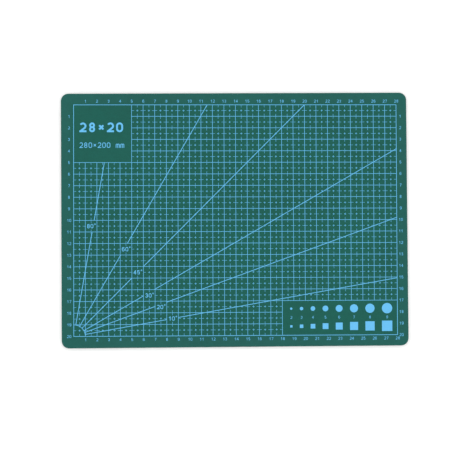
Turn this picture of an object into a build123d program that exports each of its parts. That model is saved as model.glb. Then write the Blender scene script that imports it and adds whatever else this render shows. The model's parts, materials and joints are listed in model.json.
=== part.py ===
from build123d import *
import math
import os

# A self-healing cutting mat. Five bonded plies share one rounded outline, and the working face carries
# a printed rule: a centimetre grid in a frame, protractor rays, margin numbers, a title panel, and a
# panel of circle and square sizes.
#
# Millimetres. The origin is the middle of the underside, +X runs along the long side, and +Z points
# out of the printed face.

# Sheet
mat_length = 300
mat_width = 220
corner_radius = 6.5
edge_softening = 0.25

# Plies, from the underside up: skin, cushion, core, cushion, skin
skin_thickness = 0.8
cushion_thickness = 0.4
core_thickness = 0.6
lower_cushion_level = skin_thickness
core_level = lower_cushion_level + cushion_thickness
upper_cushion_level = core_level + core_thickness
surface_level = upper_cushion_level + cushion_thickness
face_level = surface_level + skin_thickness

# Print, measured from the grid's lower left corner
cell = 10
columns = 28
rows = 20
grid_length = columns * cell
grid_width = rows * cell
print_offset_x = 0.7
print_offset_y = -0.15
print_turn = -0.18
ink_thickness = 0.03
frame_line = 0.46
grid_line = 0.38
ray_line = 0.54
arc_line = 0.48

# Protractor rays from the grid's lower left corner, each with the cell (column, row) of its label
arc_radius = cell
ray_label_cells = {10: (8, 1), 20: (7, 2), 30: (6, 3), 45: (5, 5), 60: (4, 7), 80: (1, 9)}
ray_length = math.hypot(grid_length, grid_width)
label_cap = 3.7
label_stroke = 0.54
label_offset_x = -0.8
degree_radius = 0.65
degree_hole_radius = 0.28
degree_offset_x = 3.3
degree_offset_y = 1.7

# Title panel in the grid's upper left corner
title_columns = 5
title_rows = 5
title_left = 5
title_cap = 8.4
title_stroke = 1.6
title_baseline = 176.3
title_text = "28×20"
title_length = 37.7
subtitle_cap = 4.7
subtitle_baseline = 162.7
subtitle_text = "280×200 mm"
subtitle_length = 38.5

# Panel of circle and square sizes in the grid's lower right corner
size_panel_columns = 10
size_panel_rows = 3
template_sizes = range(2, 10)
template_left = 186.7
template_gap = 6.4
circle_row = 23
template_number_row = 15.4
square_row = 7.7
template_number_cap = 2.4

# Margin numbers
number_cap = 2.5
number_shift = 0.2
top_number_gap = 3.2
bottom_number_gap = 2.9
left_number_gap = 4
right_number_gap = 3.5

# Lettering, in proportion to its cap height
regular_stroke_ratio = 0.125
glyph_width_ratio = 0.53
advance_ratio = 0.82
tail_angle = 150

os.makedirs("parts", exist_ok=True)

print_centre = Plane.XY.offset(face_level).rotated((0, 0, print_turn))
print_centre.origin = Vector(print_offset_x, print_offset_y, face_level)
print_plane = print_centre.shift_origin(
    print_centre.from_local_coords(Vector(-grid_length / 2, -grid_width / 2, 0))
)


# Plies


def raise_outline(level, thickness):
    """Extrude the mat's rounded outline inside the ply block that calls this."""
    with BuildSketch(Plane.XY.offset(level)) as outline:
        RectangleRounded(mat_length, mat_width, corner_radius)
    extrude(outline.sketch, amount=thickness)


with BuildPart() as backing_ply:
    raise_outline(0, skin_thickness)
    fillet(backing_ply.faces().sort_by(Axis.Z)[0].edges(), edge_softening)
backing_ply.part.label = "backing_ply"
export_step(backing_ply.part, "parts/backing_ply.step")

with BuildPart() as lower_cushion_ply:
    raise_outline(lower_cushion_level, cushion_thickness)
lower_cushion_ply.part.label = "lower_cushion_ply"
export_step(lower_cushion_ply.part, "parts/lower_cushion_ply.step")

with BuildPart() as core_ply:
    raise_outline(core_level, core_thickness)
core_ply.part.label = "core_ply"
export_step(core_ply.part, "parts/core_ply.step")

with BuildPart() as upper_cushion_ply:
    raise_outline(upper_cushion_level, cushion_thickness)
upper_cushion_ply.part.label = "upper_cushion_ply"
export_step(upper_cushion_ply.part, "parts/upper_cushion_ply.step")

with BuildPart() as surface_ply:
    raise_outline(surface_level, skin_thickness)
    fillet(surface_ply.faces().sort_by(Axis.Z)[-1].edges(), edge_softening)
surface_ply.part.label = "surface_ply"
export_step(surface_ply.part, "parts/surface_ply.step")


# Lettering: each character is drawn about its own middle with strokes of one width. half_width and
# half_height reach to the middle of the outer strokes.


def draw_stroke(stroke, *points):
    """A straight-sided stroke through points."""
    with BuildLine() as path:
        Polyline(*points)
    trace(path.line, stroke)


def draw_zero(half_width, half_height, stroke):
    for growth, mode in ((stroke, Mode.ADD), (-stroke, Mode.SUBTRACT)):
        SlotOverall(2 * half_height + growth, 2 * half_width + growth, rotation=90, mode=mode)


def draw_one(half_width, half_height, stroke):
    stem_x = half_width * 0.3
    flag_end = (-half_width * 0.7, half_height * 0.4)
    draw_stroke(stroke, (stem_x, -half_height - stroke / 2), (stem_x, half_height + stroke / 2))
    draw_stroke(stroke, (stem_x, half_height), flag_end)


def draw_two(half_width, half_height, stroke):
    bowl_y = half_height - half_width
    to_foot = Vector(-half_width, -half_height - bowl_y)
    foot_angle = math.degrees(math.atan2(to_foot.Y, to_foot.X))
    tangent_angle = foot_angle + math.degrees(math.acos(half_width / to_foot.length))
    foot_reach = half_width + stroke / 2
    with BuildLine() as path:
        bowl = CenterArc((0, bowl_y), half_width, tail_angle, tangent_angle - tail_angle)
        Line(bowl @ 1, (-half_width, -half_height))
    trace(path.line, stroke)
    draw_stroke(stroke, (-foot_reach, -half_height), (foot_reach, -half_height))


def draw_three(half_width, half_height, stroke):
    """An eight whose left side is opened between the two tails."""
    opening_width = 2 * half_width
    opening_height = half_height * 1.1
    opening_right = -half_width * 0.1
    draw_eight(half_width, half_height, stroke)
    with Locations((opening_right - opening_width / 2, 0)):
        Rectangle(opening_width, opening_height, mode=Mode.SUBTRACT)


def draw_four(half_width, half_height, stroke):
    stem_x = half_width * 0.45
    bar_y = -half_height * 0.4
    draw_stroke(stroke, (stem_x, -half_height - stroke / 2), (stem_x, half_height + stroke / 2))
    draw_stroke(stroke, (stem_x, half_height), (-half_width, bar_y), (half_width + stroke / 2, bar_y))


def draw_five(half_width, half_height, stroke):
    bowl_y = half_width - half_height
    bowl_sweep = 290
    stem_top = (-half_width * 0.75, half_height)
    bar_end = (half_width * 0.85, half_height)
    with BuildLine() as path:
        bowl = CenterArc((0, bowl_y), half_width, -tail_angle, bowl_sweep)
        Polyline(bowl @ 1, stem_top, bar_end)
    trace(path.line, stroke)


def draw_six(half_width, half_height, stroke):
    """One outline runs over the hook, down the stem and round the bowl, and the bowl is then opened."""
    top_y = half_height - half_width
    inner = half_width - stroke / 2
    outer = half_width + stroke / 2
    join_angle = math.degrees(math.acos(-inner / outer))
    hook_end = 180 - tail_angle
    with BuildLine() as outline:
        crown = CenterArc((0, top_y), outer, hook_end, tail_angle)
        bowl = CenterArc((0, -top_y), outer, 180, 180 + join_angle)
        throat = CenterArc((0, top_y), inner, 180, -tail_angle)
        Line(crown @ 1, bowl @ 0)
        Line(bowl @ 1, throat @ 0)
        Line(throat @ 1, crown @ 0)
    make_face(outline.line)
    with Locations((0, -top_y)):
        Circle(inner, mode=Mode.SUBTRACT)


def draw_seven(half_width, half_height, stroke):
    foot = (-half_width * 0.3, -half_height - stroke / 2)
    draw_stroke(stroke, (-half_width, half_height), (half_width, half_height), foot)


def draw_eight(half_width, half_height, stroke):
    lower_radius = half_height * 0.52
    upper_radius = half_height - lower_radius
    bowls = ((lower_radius - half_height, lower_radius), (half_height - upper_radius, upper_radius))
    for growth, mode in ((stroke / 2, Mode.ADD), (-stroke / 2, Mode.SUBTRACT)):
        for centre_y, radius in bowls:
            with Locations((0, centre_y)):
                Circle(radius + growth, mode=mode)


def draw_nine(half_width, half_height, stroke):
    with BuildSketch(mode=Mode.PRIVATE) as turned_six:
        draw_six(half_width, half_height, stroke)
    add(turned_six.sketch, rotation=180)


def draw_times(half_width, half_height, stroke):
    arm = half_width * 0.8
    for side in (1, -1):
        draw_stroke(stroke, (-arm, -side * arm), (arm, side * arm))


def draw_m(half_width, half_height, stroke):
    """Three stems under two round shoulders, wider than a digit and as tall as a small letter."""
    shoulder_radius = half_width * 0.56
    shoulder_top = half_height * 0.45
    shoulder_y = shoulder_top - shoulder_radius
    stem_length = shoulder_y + half_height + stroke / 2
    for growth, mode in ((stroke / 2, Mode.ADD), (-stroke / 2, Mode.SUBTRACT)):
        for side in (1, -1):
            with Locations((side * shoulder_radius, shoulder_y)):
                Circle(shoulder_radius + growth, mode=mode)
            with Locations((side * shoulder_radius, shoulder_y - stem_length / 2)):
                Rectangle(2 * (shoulder_radius + growth), stem_length, mode=mode)


glyphs = {
    "0": draw_zero,
    "1": draw_one,
    "2": draw_two,
    "3": draw_three,
    "4": draw_four,
    "5": draw_five,
    "6": draw_six,
    "7": draw_seven,
    "8": draw_eight,
    "9": draw_nine,
    "×": draw_times,
    "m": draw_m,
}


def write(lines, cap_height, stroke=None, length=None):
    """Draw lines of lettering, each a text and its middle, inside the sketch that calls this."""
    stroke = stroke or cap_height * regular_stroke_ratio
    half_width = cap_height * glyph_width_ratio / 2
    half_height = (cap_height - stroke) / 2
    places = {}
    for text, middle in lines:
        advance = cap_height * advance_ratio
        if length:
            advance = (length - 2 * half_width - stroke) / (len(text) - 1)
        for place, character in enumerate(text):
            shift = Vector((place - (len(text) - 1) / 2) * advance, 0)
            places.setdefault(character, []).append(Vector(middle) + shift)
    for character, spots in places.items():
        if character in glyphs:
            with BuildSketch(mode=Mode.PRIVATE) as glyph:
                glyphs[character](half_width, half_height, stroke)
            with Locations(*spots):
                add(glyph.sketch)


# Print: one film of ink. Where two printed features cross, the film belongs to one of them only.


def panel(left, bottom, panel_columns, panel_rows, inset, mode=Mode.ADD):
    """A rectangle of whole cells, drawn in by an inset on every side."""
    with Locations((left + panel_columns * cell / 2, bottom + panel_rows * cell / 2)):
        Rectangle(panel_columns * cell - 2 * inset, panel_rows * cell - 2 * inset, mode=mode)


def clear_panels(inset):
    """Leave the title panel and the size panel unprinted."""
    panel(0, grid_width - title_rows * cell, title_columns, title_rows, inset, Mode.SUBTRACT)
    size_panel_left = grid_length - size_panel_columns * cell
    panel(size_panel_left, 0, size_panel_columns, size_panel_rows, inset, Mode.SUBTRACT)


with BuildPart() as frame_border:
    with BuildSketch(print_plane):
        panel(0, 0, columns, rows, -frame_line / 2)
        panel(0, 0, columns, rows, frame_line / 2, Mode.SUBTRACT)
    extrude(amount=ink_thickness)
frame_border.part.label = "frame_border"
export_step(frame_border.part, "parts/frame_border.step")

with BuildPart() as protractor_arc:
    with BuildSketch(print_plane):
        Circle(arc_radius + arc_line / 2)
        Circle(arc_radius - arc_line / 2, mode=Mode.SUBTRACT)
        panel(0, 0, columns, rows, frame_line / 2, Mode.INTERSECT)
    extrude(amount=ink_thickness)
protractor_arc.part.label = "protractor_arc"
export_step(protractor_arc.part, "parts/protractor_arc.step")

with BuildSketch() as ray_pattern:
    for angle in ray_label_cells:
        Rectangle(ray_length, ray_line, rotation=angle, align=(Align.MIN, Align.CENTER))
    panel(0, 0, columns, rows, frame_line / 2, Mode.INTERSECT)
    clear_panels(-grid_line / 2)
    Circle(arc_radius + arc_line / 2, mode=Mode.SUBTRACT)
    for column, row in ray_label_cells.values():
        panel(column * cell, row * cell, 1, 1, grid_line / 2, Mode.SUBTRACT)

with BuildPart() as angle_rays:
    with BuildSketch(print_plane):
        add(ray_pattern.sketch)
    extrude(amount=ink_thickness)
angle_rays.part.label = "angle_rays"
export_step(angle_rays.part, "parts/angle_rays.step")

with BuildPart() as centimetre_grid:
    with BuildSketch(print_plane):
        for column in range(1, columns):
            with Locations((column * cell, grid_width / 2)):
                Rectangle(grid_line, grid_width)
        for row in range(1, rows):
            with Locations((grid_length / 2, row * cell)):
                Rectangle(grid_length, grid_line)
        panel(0, 0, columns, rows, frame_line / 2, Mode.INTERSECT)
        clear_panels(grid_line / 2)
        Circle(arc_radius + arc_line / 2, mode=Mode.SUBTRACT)
        add(ray_pattern.sketch, mode=Mode.SUBTRACT)
    extrude(amount=ink_thickness)
centimetre_grid.part.label = "centimetre_grid"
export_step(centimetre_grid.part, "parts/centimetre_grid.step")

with BuildPart() as angle_labels:
    with BuildSketch(print_plane):
        label_middles = {
            angle: Vector((column + 0.5) * cell, (row + 0.5) * cell)
            for angle, (column, row) in ray_label_cells.items()
        }
        label_shift = Vector(label_offset_x, 0)
        labels = [(str(angle), middle + label_shift) for angle, middle in label_middles.items()]
        write(labels, label_cap, label_stroke)
        for middle in label_middles.values():
            with Locations(middle + Vector(degree_offset_x, degree_offset_y)):
                Circle(degree_radius)
                Circle(degree_hole_radius, mode=Mode.SUBTRACT)
    extrude(amount=ink_thickness)
angle_labels.part.label = "angle_labels"
export_step(angle_labels.part, "parts/angle_labels.step")


# Margin numbers: columns are counted from the left, and rows from the top

column_places = {column: column * cell + number_shift for column in range(1, columns + 1)}
row_places = {row: grid_width - row * cell for row in range(1, rows + 1)}

with BuildPart() as top_numbers:
    with BuildSketch(print_plane):
        write([(str(n), (x, grid_width + top_number_gap)) for n, x in column_places.items()], number_cap)
    extrude(amount=ink_thickness)
top_numbers.part.label = "top_numbers"
export_step(top_numbers.part, "parts/top_numbers.step")

with BuildPart() as bottom_numbers:
    with BuildSketch(print_plane):
        write([(str(n), (x, -bottom_number_gap)) for n, x in column_places.items()], number_cap)
    extrude(amount=ink_thickness)
bottom_numbers.part.label = "bottom_numbers"
export_step(bottom_numbers.part, "parts/bottom_numbers.step")

with BuildPart() as left_numbers:
    with BuildSketch(print_plane):
        write([(str(n), (-left_number_gap, y)) for n, y in row_places.items()], number_cap)
    extrude(amount=ink_thickness)
left_numbers.part.label = "left_numbers"
export_step(left_numbers.part, "parts/left_numbers.step")

with BuildPart() as right_numbers:
    with BuildSketch(print_plane):
        write([(str(n), (grid_length + right_number_gap, y)) for n, y in row_places.items()], number_cap)
    extrude(amount=ink_thickness)
right_numbers.part.label = "right_numbers"
export_step(right_numbers.part, "parts/right_numbers.step")


# Title panel: the grid's size, in centimetres and in millimetres

with BuildPart() as title_numbers:
    with BuildSketch(print_plane):
        title_middle = (title_left + title_length / 2, title_baseline + title_cap / 2)
        write([(title_text, title_middle)], title_cap, title_stroke, title_length)
    extrude(amount=ink_thickness)
title_numbers.part.label = "title_numbers"
export_step(title_numbers.part, "parts/title_numbers.step")

with BuildPart() as subtitle_numbers:
    with BuildSketch(print_plane):
        subtitle_middle = (title_left + subtitle_length / 2, subtitle_baseline + subtitle_cap / 2)
        write([(subtitle_text, subtitle_middle)], subtitle_cap, length=subtitle_length)
    extrude(amount=ink_thickness)
subtitle_numbers.part.label = "subtitle_numbers"
export_step(subtitle_numbers.part, "parts/subtitle_numbers.step")


# Size panel: solid circles and squares of each size in millimetres, with equal gaps between them

template_places = {}
next_left = template_left
for size in template_sizes:
    template_places[size] = next_left + size / 2
    next_left += size + template_gap

with BuildPart() as circle_templates:
    with BuildSketch(print_plane):
        for size, place in template_places.items():
            with Locations((place, circle_row)):
                Circle(size / 2)
    extrude(amount=ink_thickness)
circle_templates.part.label = "circle_templates"
export_step(circle_templates.part, "parts/circle_templates.step")

with BuildPart() as square_templates:
    with BuildSketch(print_plane):
        for size, place in template_places.items():
            with Locations((place, square_row)):
                Rectangle(size, size)
    extrude(amount=ink_thickness)
square_templates.part.label = "square_templates"
export_step(square_templates.part, "parts/square_templates.step")

with BuildPart() as template_numbers:
    with BuildSketch(print_plane):
        write([(str(n), (x, template_number_row)) for n, x in template_places.items()], template_number_cap)
    extrude(amount=ink_thickness)
template_numbers.part.label = "template_numbers"
export_step(template_numbers.part, "parts/template_numbers.step")
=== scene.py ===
import json
import math

import bpy
from mathutils import Matrix, Vector, noise


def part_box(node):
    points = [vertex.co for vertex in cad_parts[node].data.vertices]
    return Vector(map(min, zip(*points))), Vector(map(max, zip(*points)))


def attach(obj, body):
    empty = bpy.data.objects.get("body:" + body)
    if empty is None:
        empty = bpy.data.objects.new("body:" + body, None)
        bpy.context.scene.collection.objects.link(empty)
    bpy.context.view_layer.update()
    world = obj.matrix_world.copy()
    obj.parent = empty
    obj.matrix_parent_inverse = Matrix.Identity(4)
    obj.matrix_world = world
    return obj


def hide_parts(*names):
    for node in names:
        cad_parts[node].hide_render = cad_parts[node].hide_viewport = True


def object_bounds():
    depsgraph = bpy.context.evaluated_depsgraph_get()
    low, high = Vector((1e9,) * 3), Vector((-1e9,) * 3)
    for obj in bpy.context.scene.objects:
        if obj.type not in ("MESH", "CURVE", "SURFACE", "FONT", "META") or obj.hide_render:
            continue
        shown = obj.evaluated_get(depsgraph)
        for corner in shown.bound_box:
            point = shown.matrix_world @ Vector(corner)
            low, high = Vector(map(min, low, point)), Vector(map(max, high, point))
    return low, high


# The looks of a self-healing cutting mat, in metres and in the frame of the CAD model. The five plies are
# rebuilt with die-cut edges, the finest marks of the printed rule are added, and the printed CAD nodes
# keep their shapes and get the ink.

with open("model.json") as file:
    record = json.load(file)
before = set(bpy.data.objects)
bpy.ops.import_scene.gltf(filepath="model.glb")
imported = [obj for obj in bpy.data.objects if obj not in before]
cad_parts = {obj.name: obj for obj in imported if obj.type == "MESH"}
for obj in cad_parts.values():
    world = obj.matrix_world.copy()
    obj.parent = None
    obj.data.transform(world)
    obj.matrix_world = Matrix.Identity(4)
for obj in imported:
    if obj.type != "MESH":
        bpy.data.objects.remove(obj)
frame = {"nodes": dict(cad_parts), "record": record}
cad_low, cad_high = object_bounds()

MM = 0.001
BODY = "root"

# Printed rule, as in the CAD model
CELL = 10 * MM
COLUMNS = 28
ROWS = 20
PRINT_TURN = math.radians(-0.18)
GRID_LINE = 0.38 * MM
FRAME_LINE = 0.46 * MM
LABEL_CELLS = {(8, 1), (7, 2), (6, 3), (5, 5), (4, 7), (1, 9)}
TITLE_PANEL = ((0, 15), (5, 20))
SIZE_PANEL = ((18, 0), (28, 3))

# Half-centimetre marks
TICK_LINE = 0.26 * MM
TICK_REACH = 2.2 * MM
CROSS_LINE = 0.34 * MM
CROSS_REACH = 0.9 * MM
MARK_FILM = 0.028 * MM

# Sheet
CORNER_RADIUS = 6.5 * MM
MARGIN_WIDTH = 12 * MM
EDGE_STEP = 1.3 * MM
CORNER_STEPS = 16
FLAT_INSET = 1.2 * MM

# Die-cut edges: how far they wander, and over what length
SWAY = 0.045 * MM
SWAY_LENGTH = 38 * MM
NICK = 0.018 * MM
NICK_LENGTH = 4.5 * MM
CRISP = 0.03 * MM
ROLLED = 0.28 * MM
SKIN_BULGE = 0.02 * MM
SOFT_BULGE = 0.04 * MM

# Colours, linear
SKIN_COLOUR = (0.0045, 0.084, 0.064)
# The margin colour is lighter than the field's: painted light, not a different PVC.
MARGIN_PAINTED_LIGHT_COLOUR = (0.0085, 0.088, 0.0735)
CUSHION_COLOUR = (0.010, 0.040, 0.034)
CORE_COLOUR = (0.46, 0.50, 0.47)
INK_COLOUR = (0.115, 0.433, 0.733)
FLOOR_COLOUR = (0.90, 0.90, 0.90)

# Surface detail, in features per metre, and shine
GRAIN_SCALE = 2300
PEBBLE_SCALE = 1500
PLASTIC_IOR = 1.5
FACE_SPECULAR = 0.17
CUT_SPECULAR = 0.3

# Studio: softboxes by name, azimuth in degrees and power in watts
FLOOR_HALF = 3.0
FLOOR_DROP = 0.02 * MM
WORLD_STRENGTH = 0.8
SOFTBOX_SIZE = 1.0
SOFTBOX_REACH = 1.6
SOFTBOX_ELEVATION = 42
SOFTBOXES = (
    ("softbox_back", 90, 5.6),
    ("softbox_left", 180, 5.0),
    ("softbox_front", 270, 4.3),
    ("softbox_right", 0, 5.0),
)

# Camera, nearly straight above the face
CAMERA_PLACE = Vector((-20.91, -29.15, 868.77)) * MM
CAMERA_TURN = [math.radians(angle) for angle in (1.0646, -1.368, -0.4016)]
CAMERA_LENS = 76.6
SENSOR_WIDTH = 36


# Node helpers


def new_tree(name):
    """A material with an empty node tree, and the shader and output that it ends with."""
    material = bpy.data.materials.new(name)
    material.use_nodes = True
    tree = material.node_tree
    tree.nodes.clear()
    output = tree.nodes.new("ShaderNodeOutputMaterial")
    shader = tree.nodes.new("ShaderNodeBsdfPrincipled")
    tree.links.new(shader.outputs["BSDF"], output.inputs["Surface"])
    return material, tree, shader


def feed(tree, socket, value):
    """Set a socket to a value, or link another node's output to it."""
    if isinstance(value, bpy.types.NodeSocket):
        tree.links.new(value, socket)
    else:
        socket.default_value = value


def noise_value(tree, place, scale, detail=2.0, roughness=0.5):
    texture = tree.nodes.new("ShaderNodeTexNoise")
    feed(tree, texture.inputs["Vector"], place)
    texture.inputs["Scale"].default_value = scale
    texture.inputs["Detail"].default_value = detail
    texture.inputs["Roughness"].default_value = roughness
    return texture.outputs["Fac"]


def pebble_value(tree, place, scale):
    texture = tree.nodes.new("ShaderNodeTexVoronoi")
    texture.feature = "SMOOTH_F1"
    feed(tree, texture.inputs["Vector"], place)
    texture.inputs["Scale"].default_value = scale
    texture.inputs["Smoothness"].default_value = 0.6
    return texture.outputs["Distance"]


def maths(tree, operation, *values):
    node = tree.nodes.new("ShaderNodeMath")
    node.operation = operation
    for socket, value in zip(node.inputs, values):
        feed(tree, socket, value)
    return node.outputs["Value"]


def vector_maths(tree, operation, *values):
    node = tree.nodes.new("ShaderNodeVectorMath")
    node.operation = operation
    for socket, value in zip(node.inputs, values):
        feed(tree, socket, value)
    return node.outputs["Value" if operation == "LENGTH" else "Vector"]


def ramp_value(tree, value, low, high, to_low=0.0, to_high=1.0):
    """A value remapped smoothly from one range to another."""
    node = tree.nodes.new("ShaderNodeMapRange")
    node.interpolation_type = "SMOOTHSTEP"
    for socket, setting in zip(node.inputs, (value, low, high, to_low, to_high)):
        feed(tree, socket, setting)
    return node.outputs["Result"]


def mixed(tree, factor, first, second):
    node = tree.nodes.new("ShaderNodeMix")
    node.data_type = "RGBA"
    feed(tree, node.inputs["Factor"], factor)
    for name, value in (("A", first), ("B", second)):
        socket = next(s for s in node.inputs if s.name == name and s.type == "RGBA")
        feed(tree, socket, value if isinstance(value, bpy.types.NodeSocket) else (*value, 1.0))
    return next(s for s in node.outputs if s.type == "RGBA")


def bumped(tree, height, distance, strength):
    node = tree.nodes.new("ShaderNodeBump")
    node.inputs["Strength"].default_value = strength
    node.inputs["Distance"].default_value = distance
    feed(tree, node.inputs["Height"], height)
    return node.outputs["Normal"]


def shaded(colour, gain):
    return tuple(min(1.0, channel * gain) for channel in colour)


def uneven_tone(tree, colour, parts, spread):
    """A colour that drifts between a darker and a lighter tone by weighted noises around one half."""
    factor = 0.5
    for value, weight in parts:
        drift = maths(tree, "SUBTRACT", value, 0.5)
        factor = maths(tree, "MULTIPLY_ADD", drift, weight, factor)
    return mixed(tree, factor, shaded(colour, 1 - spread), shaded(colour, 1 + spread))


def object_place(tree):
    return tree.nodes.new("ShaderNodeTexCoord").outputs["Object"]


def rim_distance(tree, place, half_length, half_width):
    """How far a point lies from the rounded outline: negative inside, and zero at the edge.

    Further in than the corner radius, it stays at minus that radius.
    """
    flat = vector_maths(tree, "MULTIPLY", place, (1.0, 1.0, 0.0))
    folded = vector_maths(tree, "ABSOLUTE", flat)
    corner = (half_length - CORNER_RADIUS, half_width - CORNER_RADIUS, 0.0)
    past = vector_maths(tree, "SUBTRACT", folded, corner)
    clipped = vector_maths(tree, "MAXIMUM", past, (0.0, 0.0, 0.0))
    return maths(tree, "SUBTRACT", vector_maths(tree, "LENGTH", clipped), CORNER_RADIUS)


def painted_light_margin_share(tree, place, half_length, half_width):
    """Zero over the ruled field, rising to one across the margins, where a lighter tone is painted in as
    painted light.
    """
    folded = tree.nodes.new("ShaderNodeSeparateXYZ")
    feed(tree, folded.inputs["Vector"], vector_maths(tree, "ABSOLUTE", place))
    shares = [
        ramp_value(tree, folded.outputs[axis], half_side - MARGIN_WIDTH, half_side - MARGIN_WIDTH / 2)
        for axis, half_side in (("X", half_length), ("Y", half_width))
    ]
    return maths(tree, "MAXIMUM", *shares)


# Materials


def skin_material(name, colour, margin_painted_light_colour):
    """Calendered PVC: a fine matte pebble, slow mottling, margins painted lighter as painted light, and a
    paler scuffed rim.
    """
    material, tree, shader = new_tree(name)
    place = object_place(tree)
    broad = noise_value(tree, place, 14, 3)
    mottle = noise_value(tree, place, 230, 4, 0.6)
    speckle = noise_value(tree, place, 720, 2)
    grain = noise_value(tree, place, GRAIN_SCALE, 2, 0.6)
    pebble = pebble_value(tree, place, PEBBLE_SCALE)
    drifts = ((broad, 0.9), (mottle, 0.7), (speckle, 0.9), (grain, 1.1))
    field_tone = uneven_tone(tree, colour, drifts, 0.16)
    # The margins take the lighter tone: painted light.
    margin_painted_light_tone = uneven_tone(tree, margin_painted_light_colour, drifts, 0.16)
    margin = painted_light_margin_share(tree, place, cad_high.x, cad_high.y)
    tone = mixed(tree, margin, field_tone, margin_painted_light_tone)
    rim = rim_distance(tree, place, cad_high.x, cad_high.y)
    near_rim = ramp_value(tree, rim, -1.1 * MM, -0.1 * MM)
    scuffs = ramp_value(tree, noise_value(tree, place, 700, 4, 0.7), 0.5, 0.7)
    wear = maths(tree, "MULTIPLY", maths(tree, "MULTIPLY", near_rim, scuffs), 0.45)
    feed(tree, shader.inputs["Base Color"], mixed(tree, wear, tone, shaded(colour, 2.6)))
    rub = noise_value(tree, vector_maths(tree, "MULTIPLY", place, (1.0, 0.25, 1.0)), 60, 5, 0.65)
    feed(tree, shader.inputs["Roughness"], ramp_value(tree, rub, 0.3, 0.7, 0.52, 0.64))
    height = maths(tree, "MULTIPLY_ADD", pebble, 0.8, grain)
    feed(tree, shader.inputs["Normal"], bumped(tree, height, 0.03 * MM, 0.55))
    shader.inputs["IOR"].default_value = PLASTIC_IOR
    shader.inputs["Specular IOR Level"].default_value = FACE_SPECULAR
    return material


def cut_material(name, colour, spread, roughness):
    """A ply's die-cut side, drawn down by the blade in fine upright streaks."""
    material, tree, shader = new_tree(name)
    place = object_place(tree)
    streaks = noise_value(tree, vector_maths(tree, "MULTIPLY", place, (1.0, 1.0, 0.07)), 2600, 3, 0.6)
    crumbs = noise_value(tree, place, 3400, 2)
    stain = noise_value(tree, place, 45, 4, 0.6)
    tone = uneven_tone(tree, colour, ((streaks, 1.3), (crumbs, 0.6), (stain, 1.2)), spread)
    feed(tree, shader.inputs["Base Color"], tone)
    dragged = ramp_value(tree, streaks, 0.3, 0.7, roughness - 0.08, roughness + 0.08)
    feed(tree, shader.inputs["Roughness"], dragged)
    height = maths(tree, "MULTIPLY_ADD", crumbs, 0.4, streaks)
    feed(tree, shader.inputs["Normal"], bumped(tree, height, 0.05 * MM, 0.5))
    shader.inputs["IOR"].default_value = PLASTIC_IOR
    shader.inputs["Specular IOR Level"].default_value = CUT_SPECULAR
    return material


def ink_material(name, colour, ground):
    """Screen ink: an even film that thins where the ply's grain dips below it."""
    material, tree, shader = new_tree(name)
    place = object_place(tree)
    grain = noise_value(tree, place, GRAIN_SCALE, 2, 0.6)
    pebble = pebble_value(tree, place, PEBBLE_SCALE)
    pull = noise_value(tree, place, 110, 4, 0.6)
    tone = uneven_tone(tree, colour, ((pull, 0.8), (grain, 0.5)), 0.07)
    thin = ramp_value(tree, maths(tree, "MULTIPLY_ADD", pull, 0.35, grain), 0.5, 0.36)
    film = mixed(tree, maths(tree, "MULTIPLY", thin, 0.3), tone, shaded(ground, 2.2))
    feed(tree, shader.inputs["Base Color"], film)
    feed(tree, shader.inputs["Roughness"], ramp_value(tree, grain, 0.3, 0.7, 0.42, 0.54))
    height = maths(tree, "MULTIPLY_ADD", pebble, 0.8, grain)
    feed(tree, shader.inputs["Normal"], bumped(tree, height, 0.02 * MM, 0.4))
    shader.inputs["IOR"].default_value = PLASTIC_IOR
    shader.inputs["Specular IOR Level"].default_value = FACE_SPECULAR
    return material


def floor_material(name, colour):
    material, tree, shader = new_tree(name)
    place = object_place(tree)
    cloud = noise_value(tree, place, 3, 2)
    feed(tree, shader.inputs["Base Color"], uneven_tone(tree, colour, ((cloud, 0.5),), 0.02))
    shader.inputs["Roughness"].default_value = 0.8
    shader.inputs["Specular IOR Level"].default_value = 0.1
    return material


# Plies


def outline_samples(half_length, half_width):
    """Points round the rounded outline, each with its outward direction and its distance along the edge."""
    samples = []
    travelled = 0.0
    corners = (
        (1, 1, 0, half_width),
        (-1, 1, 90, half_length),
        (-1, -1, 180, half_width),
        (1, -1, 270, half_length),
    )
    for sign_x, sign_y, start, half_side in corners:
        centre = Vector((sign_x * (half_length - CORNER_RADIUS), sign_y * (half_width - CORNER_RADIUS), 0))
        outward = Vector((math.cos(math.radians(start)), math.sin(math.radians(start)), 0))
        along = Vector((-outward.y, outward.x, 0))
        side = 2 * (half_side - CORNER_RADIUS)
        steps = round(side / EDGE_STEP)
        first = centre + outward * CORNER_RADIUS - along * side
        for step in range(1, steps):
            samples.append((first + along * side * step / steps, outward, travelled + side * step / steps))
        travelled += side
        for step in range(CORNER_STEPS + 1):
            angle = math.radians(start + 90 * step / CORNER_STEPS)
            outward = Vector((math.cos(angle), math.sin(angle), 0))
            turn = math.pi / 2 * step / CORNER_STEPS
            samples.append((centre + outward * CORNER_RADIUS, outward, travelled + turn * CORNER_RADIUS))
        travelled += math.pi / 2 * CORNER_RADIUS
    return samples


def edge_profile(bottom, top, bottom_round, top_round, bulge):
    """A ply's side as (outset, height) pairs, from its underside up to its upper face."""
    points = []
    arc_steps = 5
    for step in range(arc_steps + 1):
        angle = math.pi / 2 * step / arc_steps
        lift = bottom_round * (1 - math.cos(angle))
        points.append((-bottom_round * (1 - math.sin(angle)), bottom + lift))
    wall = top - top_round - bottom - bottom_round
    wall_steps = 3
    for step in range(1, wall_steps):
        share = step / wall_steps
        points.append((bulge * math.sin(math.pi * share), bottom + bottom_round + wall * share))
    for step in range(arc_steps + 1):
        angle = math.pi / 2 * step / arc_steps
        drop = top_round * (1 - math.sin(angle))
        points.append((-top_round * (1 - math.cos(angle)), top - drop))
    return points


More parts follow.
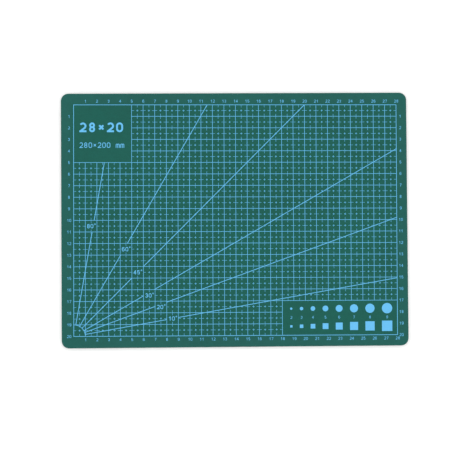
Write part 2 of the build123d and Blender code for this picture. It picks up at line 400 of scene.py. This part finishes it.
def build_ply(name, node, slot, face, cut, rounds, bulge, seed):
    """Rebuild a ply with a die-cut edge that wavers slightly, its two flat faces, and its cut side."""
    low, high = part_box(node)
    profile = edge_profile(low.z, high.z, *rounds, bulge)
    profile = [(-FLAT_INSET, low.z)] + profile + [(-FLAT_INSET, high.z)]
    samples = outline_samples(cad_high.x, cad_high.y)
    vertices = []
    for point, outward, travelled in samples:
        sway = noise.noise(Vector((travelled / SWAY_LENGTH, seed, 0))) * SWAY
        nick = noise.noise(Vector((travelled / NICK_LENGTH, seed, 7))) * NICK
        for place, (outset, height) in enumerate(profile):
            waver = 0 if place in (0, len(profile) - 1) else sway + nick
            vertices.append(point + outward * (outset + waver) + Vector((0, 0, height)))
    ring = len(profile)
    count = len(samples)
    faces = []
    cut_faces = []
    for step in range(count):
        here = step * ring
        after = (step + 1) % count * ring
        for level in range(ring - 1):
            faces.append((here + level, after + level, after + level + 1, here + level + 1))
            cut_faces.append(0 < level < ring - 2)
    faces.append([step * ring + ring - 1 for step in range(count)])
    faces.append([step * ring for step in reversed(range(count))])
    cut_faces += [False, False]
    mesh = bpy.data.meshes.new(name)
    mesh.from_pydata(vertices, [], faces)
    for polygon, is_cut in zip(mesh.polygons, cut_faces):
        polygon.use_smooth = True
        polygon.material_index = int(is_cut)
    mesh.materials.append(face)
    mesh.materials.append(cut)
    piece = bpy.data.objects.new(name, mesh)
    bpy.context.scene.collection.objects.link(piece)
    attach(piece, BODY)
    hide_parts(node)
    return piece


# Half-centimetre marks


def in_panel(column, row, panel):
    (left, bottom), (right, top) = panel
    return left <= column < right and bottom <= row < top


def is_ruled(column, row):
    """Whether a cell is inside the frame and outside both panels."""
    inside = 0 <= column < COLUMNS and 0 <= row < ROWS
    return inside and not in_panel(column, row, TITLE_PANEL) and not in_panel(column, row, SIZE_PANEL)


def rectangle(left, right, bottom, top):
    return [(left, bottom), (right, bottom), (right, top), (left, top)]


def cross(x, y, reach, half_line):
    """The outline of an upright cross with equal arms."""
    quarter = [(reach, -half_line), (reach, half_line), (half_line, half_line)]
    outline = []
    for _ in range(4):
        outline += [(x + a, y + b) for a, b in quarter]
        quarter = [(-b, a) for a, b in quarter]
    return outline


def mark_outlines():
    """Ticks on both sides of every printed line at the half centimetres, and a cross in each cell."""
    half_line = GRID_LINE / 2
    half_frame = FRAME_LINE / 2
    half_tick = TICK_LINE / 2
    outlines = []
    for column in range(COLUMNS):
        for row in range(ROWS):
            if not is_ruled(column, row):
                continue
            left, bottom = column * CELL, row * CELL
            right, top = left + CELL, bottom + CELL
            middle_x, middle_y = left + CELL / 2, bottom + CELL / 2
            if (column, row) not in LABEL_CELLS:
                start = left + (half_line if column else half_frame)
                end = right - (half_line if column < COLUMNS - 1 else half_frame)
                low, high = middle_y - half_tick, middle_y + half_tick
                outlines.append(rectangle(start, left + TICK_REACH, low, high))
                outlines.append(rectangle(right - TICK_REACH, end, low, high))
                outlines.append(cross(middle_x, middle_y, CROSS_REACH, CROSS_LINE / 2))
            start = bottom + (half_line if row else half_frame)
            end = top - (half_line if row < ROWS - 1 else half_frame)
            low, high = middle_x - half_tick, middle_x + half_tick
            outlines.append(rectangle(low, high, start, bottom + TICK_REACH))
            outlines.append(rectangle(low, high, top - TICK_REACH, end))
    return outlines


def build_marks(ink):
    """The half-centimetre marks as thin closed films, laid on the surface ply with the print's turn."""
    low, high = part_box("frame_border")
    centre = (low + high) / 2
    print_frame = (
        Matrix.Translation((centre.x, centre.y, low.z))
        @ Matrix.Rotation(PRINT_TURN, 4, "Z")
        @ Matrix.Translation((-COLUMNS * CELL / 2, -ROWS * CELL / 2, 0))
    )
    vertices = []
    faces = []
    for outline in mark_outlines():
        base = len(vertices)
        count = len(outline)
        vertices += [print_frame @ Vector((x, y, 0)) for x, y in outline]
        vertices += [print_frame @ Vector((x, y, MARK_FILM)) for x, y in outline]
        faces.append([base + count + step for step in range(count)])
        faces.append([base + step for step in reversed(range(count))])
        for step in range(count):
            after = (step + 1) % count
            faces.append((base + step, base + after, base + count + after, base + count + step))
    mesh = bpy.data.meshes.new("half_centimetre_marks")
    mesh.from_pydata(vertices, [], faces)
    mesh.materials.append(ink)
    piece = bpy.data.objects.new("half_centimetre_marks", mesh)
    bpy.context.scene.collection.objects.link(piece)
    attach(piece, BODY)
    return piece


# Scene


def build_floor():
    mesh = bpy.data.meshes.new("floor")
    square = rectangle(-FLOOR_HALF, FLOOR_HALF, -FLOOR_HALF, FLOOR_HALF)
    mesh.from_pydata([Vector((x, y, -FLOOR_DROP)) for x, y in square], [], [(0, 1, 2, 3)])
    mesh.materials.append(floor_material("pale_floor", FLOOR_COLOUR))
    floor = bpy.data.objects.new("floor", mesh)
    bpy.context.scene.collection.objects.link(floor)


def add_softbox(name, azimuth, power):
    """A square area light that faces the mat from a direction round it."""
    light = bpy.data.lights.new(name, "AREA")
    light.shape = "SQUARE"
    light.size = SOFTBOX_SIZE
    light.energy = power
    lamp = bpy.data.objects.new(name, light)
    around, up = math.radians(azimuth), math.radians(SOFTBOX_ELEVATION)
    direction = Vector((math.cos(around) * math.cos(up), math.sin(around) * math.cos(up), math.sin(up)))
    lamp.location = direction * SOFTBOX_REACH
    lamp.rotation_euler = direction.to_track_quat("Z", "Y").to_euler()
    bpy.context.scene.collection.objects.link(lamp)


def light_studio():
    world = bpy.data.worlds.new("studio")
    world.use_nodes = True
    background = world.node_tree.nodes["Background"]
    background.inputs["Color"].default_value = (1.0, 1.0, 1.0, 1.0)
    background.inputs["Strength"].default_value = WORLD_STRENGTH
    bpy.context.scene.world = world
    for name, azimuth, power in SOFTBOXES:
        add_softbox(name, azimuth, power)
    bpy.context.scene.view_settings.view_transform = "Standard"


def add_camera():
    camera = bpy.data.objects.new("camera", bpy.data.cameras.new("camera"))
    camera.data.sensor_width = SENSOR_WIDTH
    camera.data.lens = CAMERA_LENS
    camera.location = CAMERA_PLACE
    camera.rotation_euler = CAMERA_TURN
    bpy.context.scene.collection.objects.link(camera)
    bpy.context.scene.camera = camera


add_camera()
light_studio()
build_floor()

skin = skin_material("skin_pvc", SKIN_COLOUR, MARGIN_PAINTED_LIGHT_COLOUR)
back_skin = skin_material("back_skin_pvc", SKIN_COLOUR, SKIN_COLOUR)
skin_cut = cut_material("skin_cut", SKIN_COLOUR, 0.3, 0.5)
cushion_cut = cut_material("cushion_cut", CUSHION_COLOUR, 0.35, 0.72)
core_cut = cut_material("core_cut", CORE_COLOUR, 0.14, 0.6)
ink = ink_material("print_ink", INK_COLOUR, SKIN_COLOUR)

# Each ply: piece, CAD node, slot, face and cut materials, rounding of its lower and upper rim, bulge
square_rims = (CRISP, CRISP)
plies = (
    ("backing_skin", "backing_ply", "skin_pvc", back_skin, skin_cut, (ROLLED, CRISP), SKIN_BULGE),
    ("lower_cushion", "lower_cushion_ply", "cushion_pvc", cushion_cut, cushion_cut, square_rims, SOFT_BULGE),
    ("core_sheet", "core_ply", "core_sheet", core_cut, core_cut, square_rims, -SOFT_BULGE),
    ("upper_cushion", "upper_cushion_ply", "cushion_pvc", cushion_cut, cushion_cut, square_rims, SOFT_BULGE),
    ("surface_skin", "surface_ply", "skin_pvc", skin, skin_cut, (CRISP, ROLLED), SKIN_BULGE),
)
for seed, ply in enumerate(plies, 1):
    build_ply(*ply, seed)
build_marks(ink)

ink_nodes = [part["node"] for part in frame["record"]["subparts"] if part["material_slot"] == "print_ink"]
for node in ink_nodes:
    piece = frame["nodes"][node]
    piece.data.materials.clear()
    piece.data.materials.append(ink)
